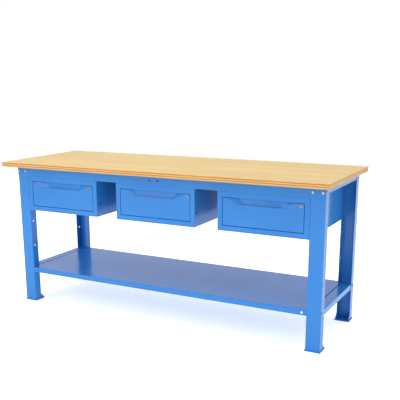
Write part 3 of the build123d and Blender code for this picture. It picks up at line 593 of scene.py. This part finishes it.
def makeFoot(corner):
    low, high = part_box("foot_" + corner)
    legLow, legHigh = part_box("leg_" + corner)
    inward = 1 if "front" in corner else -1
    plateTop = legLow.z
    bm = bmesh.new()
    addBlock(bm, low, (high.x, high.y, plateTop))
    roundEdges(bm, uprightEdges(bm), footLook["cornerRadius"], 4)
    foot = meshObject("foot_" + corner.replace("_", "."), bm)
    face, openEdge = (legLow.y, legHigh.y) if inward > 0 else (legHigh.y, legLow.y)
    bm = bmesh.new()
    start = ((low.x + high.x) / 2, openEdge, -overrun)
    addRod(bm, start, (0, 0, 1), footLook["anchorRadius"], 3 * overrun, sides=28)
    carve(foot, meshObject("anchorHole", bm))
    bm = bmesh.new()
    bm.from_mesh(foot.data)
    tip = high.y if inward > 0 else low.y
    bead = plateTop + footLook["beadRadius"] * footLook["beadLift"]
    gussetBead = footLook["beadRadius"] * footLook["gussetBead"]
    for x in (legLow.x, legHigh.x - footLook["gussetSheet"]):
        # triangle behind each wall of the leg
        points = [bm.verts.new(p) for p in ((x, openEdge, plateTop), (x, tip, plateTop),
                                            (x, openEdge, plateTop + footLook["gussetHeight"]))]
        side = bm.faces.new(points)
        grown = bmesh.ops.extrude_face_region(bm, geom=[side])["geom"]
        moved = [item for item in grown if isinstance(item, bmesh.types.BMVert)]
        bmesh.ops.translate(bm, verts=moved, vec=(footLook["gussetSheet"], 0, 0))
        for wallFace in (x, x + footLook["gussetSheet"]):
            end = tip - inward * footLook["gussetBeadShort"]
            addBead(bm, (wallFace, openEdge, bead), (wallFace, end, bead), gussetBead)
    margin = footLook["beadRadius"] * footLook["beadOut"]
    for x in (legLow.x - margin, legHigh.x + margin):
        addBead(bm, (x, face, bead), (x, openEdge, bead), footLook["beadRadius"])
    faceLine = face - inward * margin
    addBead(bm, (legLow.x, faceLine, bead), (legHigh.x, faceLine, bead), footLook["beadRadius"])
    bmesh.ops.recalc_face_normals(bm, faces=bm.faces)
    bm.to_mesh(foot.data)
    bm.free()
    finishPiece(foot, "blue_paint", "frame", ["foot_" + corner], rim=0)


for corner in corners:
    makeLeg(corner)
    makeFoot(corner)
print("legs and feet made")


# aprons and rails

apronLook = {
    "sheet": 0.002,
    "bend": 0.0024,
    "accessoryHoles": (-0.025, 0.025),
    "accessoryDrop": 0.033,
    "accessoryRadius": 0.005,
}


def makeApron(name, front):
    low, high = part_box(name)
    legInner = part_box("leg_front_right")[0].x
    face, flange = (low.y, high.y) if front else (high.y, low.y)
    inward = 1 if front else -1
    bm = bmesh.new()
    levels = (low.z, high.z) if front else (high.z, low.z)
    outline = [(low.x, flange, levels[0]), (low.x, face, levels[0]),
               (low.x, face, levels[1]), (low.x, flange, levels[1])]
    addFold(bm, outline, (high.x - low.x, 0, 0), apronLook["sheet"], apronLook["bend"])
    apron = meshObject(name.replace("_", "."), bm)
    bm = bmesh.new()
    behind = face + inward * apronLook["sheet"]
    for side in (-1, 1):
        edge = sorted((behind, flange + inward * overrun))
        x = sorted((side * legInner, side * (high.x + overrun)))
        addBlock(bm, (x[0], edge[0], low.z - overrun), (x[1], edge[1], high.z + overrun))
    if front:
        for x in apronLook["accessoryHoles"]:
            start = (x, face - overrun, high.z - apronLook["accessoryDrop"])
            addRod(bm, start, (0, 1, 0), apronLook["accessoryRadius"], 2 * overrun, sides=24)
    carve(apron, meshObject("apronCuts", bm))
    finishPiece(apron, "blue_paint", "frame", [name])


def makeUpperRail(side):
    low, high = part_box("upper_rail_" + side)
    outer, inner = (high.x, low.x) if side == "right" else (low.x, high.x)
    levels = (high.z, low.z) if side == "right" else (low.z, high.z)
    outline = [(inner, low.y, levels[0]), (outer, low.y, levels[0]),
               (outer, low.y, levels[1]), (inner, low.y, levels[1])]
    bm = bmesh.new()
    addFold(bm, outline, (0, high.y - low.y, 0), apronLook["sheet"], apronLook["bend"])
    finishPiece(meshObject("upperRail." + side, bm), "blue_paint", "frame", ["upper_rail_" + side])


def makeLowerRail(side):
    low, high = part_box("lower_rail_" + side)
    outline = [(low.x, low.y, low.z), (low.x, low.y, high.z),
               (high.x, low.y, high.z), (high.x, low.y, low.z)]
    bm = bmesh.new()
    addFold(bm, outline, (0, high.y - low.y, 0), apronLook["sheet"], apronLook["bend"])
    finishPiece(meshObject("lowerRail." + side, bm), "blue_paint", "frame", ["lower_rail_" + side])


makeApron("front_apron", True)
makeApron("rear_apron", False)
for side in ("left", "right"):
    makeUpperRail(side)
    makeLowerRail(side)
print("aprons and rails made")


# lower shelf

shelfLook = {
    "sheet": 0.0015,
    "bend": 0.003,
    "hem": 0.015,
    "tabGap": 0.002,          # between a lap and the leg beside it
    "lipHoleFromLeg": 0.024,
    "lipHoleRadius": 0.006,
    "stiffenerSheet": 0.0015,
    "stiffenerFlange": 0.012,
    "stiffenerBend": 0.001,
}


def makeShelf():
    low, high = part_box("shelf")
    legLow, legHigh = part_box("leg_front_right")
    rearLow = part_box("leg_rear_right")[0]
    hem = shelfLook["hem"]
    outline = [(low.x, low.y + hem, low.z), (low.x, low.y, low.z), (low.x, low.y, high.z),
               (low.x, high.y, high.z), (low.x, high.y, low.z), (low.x, high.y - hem, low.z)]
    bm = bmesh.new()
    addFold(bm, outline, (high.x - low.x, 0, 0), shelfLook["sheet"], shelfLook["bend"])
    shelf = meshObject("lowerShelf", bm)
    bm = bmesh.new()
    frontTab, rearTab = legHigh.y + shelfLook["tabGap"], rearLow.y - shelfLook["tabGap"]
    for side in (-1, 1):
        x = sorted((side * legLow.x, side * (high.x + overrun)))
        addBlock(bm, (x[0], low.y - overrun, low.z - overrun), (x[1], frontTab, high.z + overrun))
        addBlock(bm, (x[0], rearTab, low.z - overrun), (x[1], high.y + overrun, high.z + overrun))
        start = (side * (legLow.x - shelfLook["lipHoleFromLeg"]), low.y - overrun, (low.z + high.z) / 2)
        addRod(bm, start, (0, 1, 0), shelfLook["lipHoleRadius"], 2 * overrun)
    carve(shelf, meshObject("shelfCuts", bm))
    bm = bmesh.new()
    bm.from_mesh(shelf.data)
    # turned-down ends: one between the legs beside the rail, and a tab bolted to each leg
    bottom = low.z + shelfLook["sheet"]
    under = high.z - shelfLook["sheet"]
    for side in (-1, 1):
        x = sorted((side * (high.x - shelfLook["sheet"]), side * high.x))
        addBlock(bm, (x[0], frontTab, low.z), (x[1], rearTab, under))
        x = sorted((side * (legLow.x - shelfLook["sheet"]), side * legLow.x))
        addBlock(bm, (x[0], low.y + shelfLook["sheet"], bottom), (x[1], legHigh.y, under))
        addBlock(bm, (x[0], rearLow.y, bottom), (x[1], high.y - shelfLook["sheet"], under))
    bm.to_mesh(shelf.data)
    bm.free()
    finishPiece(shelf, "blue_paint", "frame", ["shelf"])


def makeStiffeners():
    bm = bmesh.new()
    flange, sheet = shelfLook["stiffenerFlange"], shelfLook["stiffenerSheet"]
    for low, high in islands("shelf_stiffeners"):
        rear, front, under = high.y - flange - sheet, low.y + flange + sheet, low.z + sheet
        outline = [(low.x, high.y, high.z), (low.x, rear, high.z), (low.x, rear, under),
                   (low.x, front, under), (low.x, front, high.z), (low.x, low.y, high.z)]
        addFold(bm, outline, (high.x - low.x, 0, 0), sheet, shelfLook["stiffenerBend"])
    finishPiece(meshObject("shelfStiffeners", bm), "blue_paint", "frame", ["shelf_stiffeners"])


makeShelf()
makeStiffeners()
print("shelf made")


# drawer housings

housingLook = {
    "sheet": 0.0015,
    "bend": 0.0014,
    "border": 0.02,           # round the opening, before it is fitted to the drawer front
    "return": 0.022,          # how far the opening's edges turn in
    "gap": 0.0025,            # between the opening and the drawer front
    "sideHole": (0.027, 0.072, 0.0055),   # back from the face, up from the bottom, radius
    "sideHoleReach": 0.004,   # either side of the wall
    "bracketInset": 0.040,
    "bracketLength": 0.040,
    "bracketHeight": 0.038,
    "bracketBend": 0.0015,
}


def makeHousing(side):
    low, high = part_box("housing_" + side)
    frontLow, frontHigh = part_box("drawer_front_" + side)
    gap, sheet = housingLook["gap"], housingLook["sheet"]
    bm = bmesh.new()
    addBlock(bm, low, high)
    front = min(bm.faces, key=lambda face: face.calc_center_median().y)
    bmesh.ops.inset_region(bm, faces=[front], thickness=housingLook["border"])
    for vertex in front.verts:
        # the border follows the drawer front, and is wider above than at its sides
        vertex.co.x = frontLow.x - gap if vertex.co.x < (low.x + high.x) / 2 else frontHigh.x + gap
        vertex.co.z = frontLow.z - gap if vertex.co.z < (low.z + high.z) / 2 else frontHigh.z + gap
    turned = bmesh.ops.extrude_discrete_faces(bm, faces=[front])["faces"]
    bmesh.ops.translate(bm, verts=list(turned[0].verts), vec=(0, housingLook["return"], 0))
    bmesh.ops.delete(bm, geom=turned, context="FACES_ONLY")
    bevelFolds(bm, housingLook["bend"])
    bmesh.ops.solidify(bm, geom=list(bm.faces), thickness=sheet)
    housing = meshObject("housing." + side, bm)
    bm = bmesh.new()
    back, up, radius = housingLook["sideHole"]
    reach = housingLook["sideHoleReach"]
    for x in (low.x, high.x):
        addRod(bm, (x - reach, low.y + back, low.z + up), (1, 0, 0), radius, 2 * reach, sides=24)
    carve(housing, meshObject("sideHoles", bm))
    bm = bmesh.new()
    bm.from_mesh(housing.data)
    runnerLow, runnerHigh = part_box("outer_runners_" + side)
    middle = (runnerLow.z + runnerHigh.z) / 2
    half = housingLook["bracketHeight"] / 2
    inset, length = housingLook["bracketInset"], housingLook["bracketLength"]
    for wall, runner in ((low.x + sheet, runnerLow.x), (high.x - sheet, runnerHigh.x)):
        levels = (middle - half, middle + half) if wall > runner else (middle + half, middle - half)
        for y in (runnerLow.y + inset, runnerHigh.y - inset - length):
            outline = [(wall, y, levels[0]), (runner, y, levels[0]),
                       (runner, y, levels[1]), (wall, y, levels[1])]
            addFold(bm, outline, (0, length, 0), sheet, housingLook["bracketBend"])
    bm.to_mesh(housing.data)
    bm.free()
    finishPiece(housing, "blue_paint", "frame", ["housing_" + side])


for side in drawerSides:
    makeHousing(side)
print("housings made")


# drawers

frontLook = {
    "sheet": 0.0015,
    "bend": 0.0012,
    "backFlange": 0.0185,
    "pullMargin": 0.0245,         # from the front's edge to the pull's end at the top edge
    "pullEnd": 0.060,             # how far the ends slope in, down to the lip
    "pullDrop": 0.032,
    "pullDepth": 0.015,
    "pullFloor": (0.008, 0.006),  # how deep and how low its floor is
    "pullBend": 0.005,
    "lockHole": (0.0081, 0.003, 0.008),   # radius, start in front of the face, length
}
trayLook = {"sheet": 0.0012, "bend": 0.002, "hem": 0.003, "hemDrop": 0.008}


def addPullPocket(bm, frontLow, frontHigh):
    # the block that presses the finger pull: its back leans away, its floor dips behind the lip
    # and its ends slope outwards to the top edge
    middle = (frontLow.x + frontHigh.x) / 2
    face, top = frontLow.y, frontHigh.z
    lip = top - frontLook["pullDrop"]
    floorDepth, floorDip = frontLook["pullFloor"]
    lean = (frontLook["pullDepth"] - floorDepth) / (frontLook["pullDrop"] + floorDip)
    over = overrun / 2
    upper = (frontHigh.x - frontLow.x) / 2 - frontLook["pullMargin"]
    lower = upper - frontLook["pullEnd"]
    profile = [(face - over, lip), (face, lip), (face + floorDepth, lip - floorDip),
               (face + frontLook["pullDepth"] + over * lean, top + over), (face - over, top + over)]
    points = [bm.verts.new((middle - 1, y, z)) for y, z in profile]
    end = bm.faces.new(points)
    grown = bmesh.ops.extrude_face_region(bm, geom=[end])["geom"]
    moved = [item for item in grown if isinstance(item, bmesh.types.BMVert)]
    bmesh.ops.translate(bm, verts=moved, vec=(2, 0, 0))
    slope = (upper - lower) / frontLook["pullDrop"]
    lag = (upper - lower) / frontLook["pullDepth"]
    for vertex in points + moved:
        half = lower + slope * (vertex.co.z - lip) - lag * (vertex.co.y - face)
        vertex.co.x = middle + math.copysign(half, vertex.co.x - middle)
    bmesh.ops.recalc_face_normals(bm, faces=bm.faces)
    inside = [edge for edge in bm.edges
              if max(vertex.co.y for vertex in edge.verts) > face + 0.001
              and min(vertex.co.z for vertex in edge.verts) < top]
    roundEdges(bm, inside, frontLook["pullBend"])


def makeDrawerFront(side):
    low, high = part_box("drawer_front_" + side)
    barrelLow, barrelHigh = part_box("lock_barrel_" + side)
    bm = bmesh.new()
    addBlock(bm, low, high)
    bevelFolds(bm, frontLook["bend"])
    front = meshObject("drawerFront." + side, bm)
    bm = bmesh.new()
    addPullPocket(bm, low, high)
    carve(front, meshObject("pullPocket", bm))

    # the folded block becomes a pan: its back opens inside a flange, then it gets its thickness
    bm = bmesh.new()
    bm.from_mesh(front.data)
    bmesh.ops.remove_doubles(bm, verts=bm.verts, dist=mergeDistance)
    bmesh.ops.dissolve_limit(bm, angle_limit=0.01, verts=bm.verts, edges=bm.edges)
    backs = [face for face in bm.faces
             if face.normal.y > 0.99 and face.calc_center_median().y > high.y - 0.0001]
    back = max(backs, key=lambda face: face.calc_area())
    bmesh.ops.inset_region(bm, faces=[back], thickness=frontLook["backFlange"])
    bmesh.ops.delete(bm, geom=[back], context="FACES_ONLY")
    bmesh.ops.solidify(bm, geom=list(bm.faces), thickness=frontLook["sheet"])
    bm.to_mesh(front.data)
    bm.free()
    bm = bmesh.new()
    middle = (barrelLow + barrelHigh) / 2
    radius, ahead, run = frontLook["lockHole"]
    addRod(bm, (middle.x, low.y - ahead, middle.z), (0, 1, 0), radius, run, sides=28)
    carve(front, meshObject("lockHole", bm))
    finishPiece(front, "blue_paint", "drawer_" + side, ["drawer_front_" + side])


def makeTray(side):
    low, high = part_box("tray_" + side)
    bm = bmesh.new()
    addBlock(bm, low, high)
    top = max(bm.faces, key=lambda face: face.calc_center_median().z)
    bmesh.ops.inset_region(bm, faces=[top], thickness=trayLook["hem"])
    turned = bmesh.ops.extrude_discrete_faces(bm, faces=[top])["faces"]
    bmesh.ops.translate(bm, verts=list(turned[0].verts), vec=(0, 0, -trayLook["hemDrop"]))
    bmesh.ops.delete(bm, geom=turned, context="FACES_ONLY")
    bevelFolds(bm, trayLook["bend"] / 2)
    bmesh.ops.solidify(bm, geom=list(bm.faces), thickness=trayLook["sheet"])
    finishPiece(meshObject("tray." + side, bm), "tray_paint", "drawer_" + side, ["tray_" + side], rim=0)


for side in drawerSides:
    makeDrawerFront(side)
    makeTray(side)
print("drawers made")


# locks

lockLook = {
    "bezelRadius": 0.010,
    "bezelDepth": 0.0015,
    "barrelRadius": 0.008,
    "plugRadius": 0.0048,
    "bore": 0.00485,
    "neckRadius": 0.0035,
    "keyway": (0.0023, 0.0074, 0.010),   # width, height, depth
    # turned faces, as steps (out from the radius, back from the front)
    "bezelFace": ((0, 0.0009), (-0.0003, 0.0004), (-0.0008, 0), (-0.0015, 0), (-0.0021, 0.0012)),
    "boreFace": ((0.0008, 0.0014), (0, 0.0018)),
    "plugFace": ((-0.0006, 0), (-0.0001, 0.0003), (0, 0.0008)),
    "neckRound": 0.0004,
}


def addTurned(bm, centre, profile, steps=40):
    # a turned part: (radius, distance) pairs spun about a line that runs to the back
    points = [bm.verts.new((centre.x + radius, y, centre.z)) for radius, y in profile]
    wire = [bm.edges.new(pair) for pair in zip(points, points[1:])]
    bmesh.ops.spin(bm, geom=points + wire, cent=centre, axis=(0, 1, 0), angle=math.tau, steps=steps,
                   use_merge=True)
    bmesh.ops.remove_doubles(bm, verts=bm.verts, dist=mergeDistance / 2)
    bmesh.ops.recalc_face_normals(bm, faces=bm.faces)


def makeLock(side):
    low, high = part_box("lock_barrel_" + side)
    centre = (low + high) / 2
    look = lockLook
    face = low.y
    bezelBack = face + look["bezelDepth"]
    bm = bmesh.new()
    outer, wall, bore = look["bezelRadius"], look["barrelRadius"], look["bore"]
    addTurned(bm, centre, [
        (bore, high.y), (wall, high.y), (wall, bezelBack), (outer, bezelBack),
        *((outer + out, face + back) for out, back in look["bezelFace"]),
        *((bore + out, face + back) for out, back in look["boreFace"]),
        (bore, high.y)])
    finishPiece(meshObject("lockBarrel." + side, bm), "lock_chrome", "drawer_" + side,
                ["lock_barrel_" + side], rim=0)

    plugLow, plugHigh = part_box("lock_plug_" + side)
    radius, neck = look["plugRadius"], look["neckRadius"]
    bm = bmesh.new()
    addTurned(bm, centre, [
        (0, plugLow.y), *((radius + out, plugLow.y + back) for out, back in look["plugFace"]),
        (radius, high.y), (neck, high.y), (neck, plugHigh.y - look["neckRound"]),
        (neck - look["neckRound"], plugHigh.y), (0, plugHigh.y)])
    plug = meshObject("lockPlug." + side, bm)
    width, height, depth = look["keyway"]
    bm = bmesh.new()
    addBlock(bm, (centre.x - width / 2, plugLow.y - overrun / 2, centre.z - height / 2),
             (centre.x + width / 2, plugLow.y + depth, centre.z + height / 2))
    carve(plug, meshObject("keyway", bm))
    finishPiece(plug, "lock_chrome", "lock_" + side, ["lock_plug_" + side], rim=0)


for side in drawerSides:
    makeLock(side)
print("locks made")


# bolts, nuts and screws

fixingLook = {
    "boltAcross": 0.013,
    "boltHead": 0.0053,
    "boltRadius": 0.004,
    "washerRadius": 0.0064,
    "nutHeight": 0.0065,
    "nutBore": 0.00405,
    "screwRadius": 0.0025,
    "screwHeadRadius": 0.005,
    "screwHead": 0.003,
    "dome": 0.0018,
    "socketInset": 0.0013,
    "socketSink": 0.6,        # of the head's height
    "headChamfer": 0.0009,
    "nutChamfer": 0.0008,
    "tipChamfer": 0.0007,
    "washerLift": 0.0003,
    "washerHeight": 0.0006,
}


def addHexagon(bm, start, direction, across, length, chamfer):
    # six-sided bar with its far corners turned down
    made = addRod(bm, start, direction, across / math.sqrt(3), length, sides=6)
    far = Vector(start) + Vector(direction) * length
    rim = [edge for edge in {e for v in made for e in v.link_edges}
           if all(abs((v.co - far).dot(Vector(direction))) < mergeDistance for v in edge.verts)]
    roundEdges(bm, rim, chamfer, 2)


def inwardFrom(low, high):
    # which way a frame bolt points: along its longest side, towards the bench's middle
    size = high - low
    middle = (low + high) / 2
    axis = max(range(3), key=lambda i: size[i])
    frameMiddle = (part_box("leg_front_right")[0].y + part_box("leg_rear_right")[1].y) / 2
    away = middle.x if axis == 0 else middle.y - frameMiddle
    direction = Vector((0, 0, 0))
    direction[axis] = -1 if away > 0 else 1
    return middle, direction, size[axis]


def makeFrameBolts():
    bm = bmesh.new()
    head, across = fixingLook["boltHead"], fixingLook["boltAcross"]
    for low, high in islands("frame_bolts"):
        middle, direction, length = inwardFrom(low, high)
        outer = middle - direction * length / 2
        seat = outer + direction * head
        lift, washer = fixingLook["washerLift"], fixingLook["washerHeight"]
        addHexagon(bm, seat - direction * lift, -direction, across, head - lift, fixingLook["headChamfer"])
        addRod(bm, seat - direction * washer, direction, fixingLook["washerRadius"], washer, sides=24)
        shank = addRod(bm, seat, direction, fixingLook["boltRadius"], length - head, sides=16)
        tip = outer + direction * length
        end = [edge for edge in {e for v in shank for e in v.link_edges}
               if all((v.co - tip).length < fixingLook["boltRadius"] + searchDistance for v in edge.verts)]
        roundEdges(bm, end, fixingLook["tipChamfer"], 1)
    finishPiece(meshObject("frameBolts", bm), "zinc_plated_steel", "frame", ["frame_bolts"], rim=0)


def makeFrameNuts():
    bm, bores = bmesh.new(), bmesh.new()
    height = fixingLook["nutHeight"]
    for low, high in islands("frame_nuts"):
        size = high - low
        axis = min(range(3), key=lambda i: size[i])
        middle = (low + high) / 2
        direction = Vector((0, 0, 0))
        direction[axis] = 1
        for way in (-1, 1):
            addHexagon(bm, middle, direction * way, fixingLook["boltAcross"], height / 2,
                       fixingLook["nutChamfer"])
        addRod(bores, middle - direction * height, direction, fixingLook["nutBore"], 2 * height, sides=20)
    bmesh.ops.remove_doubles(bm, verts=bm.verts, dist=mergeDistance)
    inner = [face for face in bm.faces if len(face.edges) == 6
             and all(len(edge.link_faces) > 2 for edge in face.edges)]
    bmesh.ops.delete(bm, geom=inner, context="FACES_ONLY")
    nuts = meshObject("frameNuts", bm)
    carve(nuts, meshObject("nutBores", bores))
    finishPiece(nuts, "zinc_plated_steel", "frame", ["frame_nuts"], rim=0)


def addButtonScrew(bm, outer, direction, length):
    # low domed head, its socket sunk by an inset, and a plain shank
    head = fixingLook["screwHead"]
    seat = outer + direction * head
    dome = addRod(bm, seat, -direction, fixingLook["screwHeadRadius"], head, sides=24)
    top = max({face for vertex in dome for face in vertex.link_faces},
              key=lambda face: -(face.calc_center_median() - seat).dot(direction))
    roundEdges(bm, list(top.edges), fixingLook["dome"], 4)
    near = [face for face in bm.faces if (face.calc_center_median() - outer).length < searchDistance]
    if near:
        bmesh.ops.inset_region(bm, faces=near, thickness=fixingLook["socketInset"])
        sunk = bmesh.ops.extrude_discrete_faces(bm, faces=near)["faces"]
        verts = list({vertex for face in sunk for vertex in face.verts})
        bmesh.ops.translate(bm, verts=verts, vec=direction * head * fixingLook["socketSink"])
    addRod(bm, seat, direction, fixingLook["screwRadius"], length - head, sides=12)


def makeScrews(name, cadNode, towards):
    bm = bmesh.new()
    for low, high in islands(cadNode):
        size = high - low
        axis = max(range(3), key=lambda i: size[i])
        middle = (low + high) / 2
        direction = towards(middle, axis)
        addButtonScrew(bm, middle - direction * size[axis] / 2, direction, size[axis])
    finishPiece(meshObject(name, bm), "zinc_plated_steel", "frame", [cadNode], rim=0)


def housingScrewDirection(middle, axis):
    # down through the apron, or sideways into the nearest housing
    if axis == 2:
        return Vector((0, 0, -1))
    centres = [sum(corner.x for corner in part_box("housing_" + side)) / 2 for side in drawerSides]
    nearest = min(centres, key=lambda centre: abs(centre - middle.x))
    return Vector((1 if nearest > middle.x else -1, 0, 0))


makeFrameBolts()
makeFrameNuts()
makeScrews("worktopScrews", "worktop_screws", lambda middle, axis: Vector((0, 0, 1)))
makeScrews("housingScrews", "housing_screws", housingScrewDirection)
print("fixings made")


# what stays as the CAD has it: runners, glides, lock nuts and cams

keptLook = {"weld": 0.00001, "bevel": 0.0003}
keptSlots = {"outer_runners_": "runner_steel", "mid_runners_": "runner_steel",
             "inner_runners_": "runner_steel", "mid_glides_": "glide_plastic",
             "inner_glides_": "glide_plastic", "lock_nut_": "zinc_plated_steel",
             "lock_cam_": "zinc_plated_steel"}


def finishKept():
    for prefix, slot in keptSlots.items():
        for side in drawerSides:
            item = nodes[prefix + side]
            item.data.materials.clear()
            item.data.materials.append(finishes[slot])
            weld = item.modifiers.new("weld", "WELD")
            weld.merge_threshold = keptLook["weld"]
            bevel = item.modifiers.new("rim", "BEVEL")
            bevel.width = keptLook["bevel"]
            bevel.segments = 2
            bevel.limit_method = "ANGLE"
            bevel.angle_limit = math.radians(edgeLook["smooth"])
            flat = item.modifiers.new("flat", "WEIGHTED_NORMAL")
            flat.keep_sharp = True


finishKept()
print("kept nodes finished")
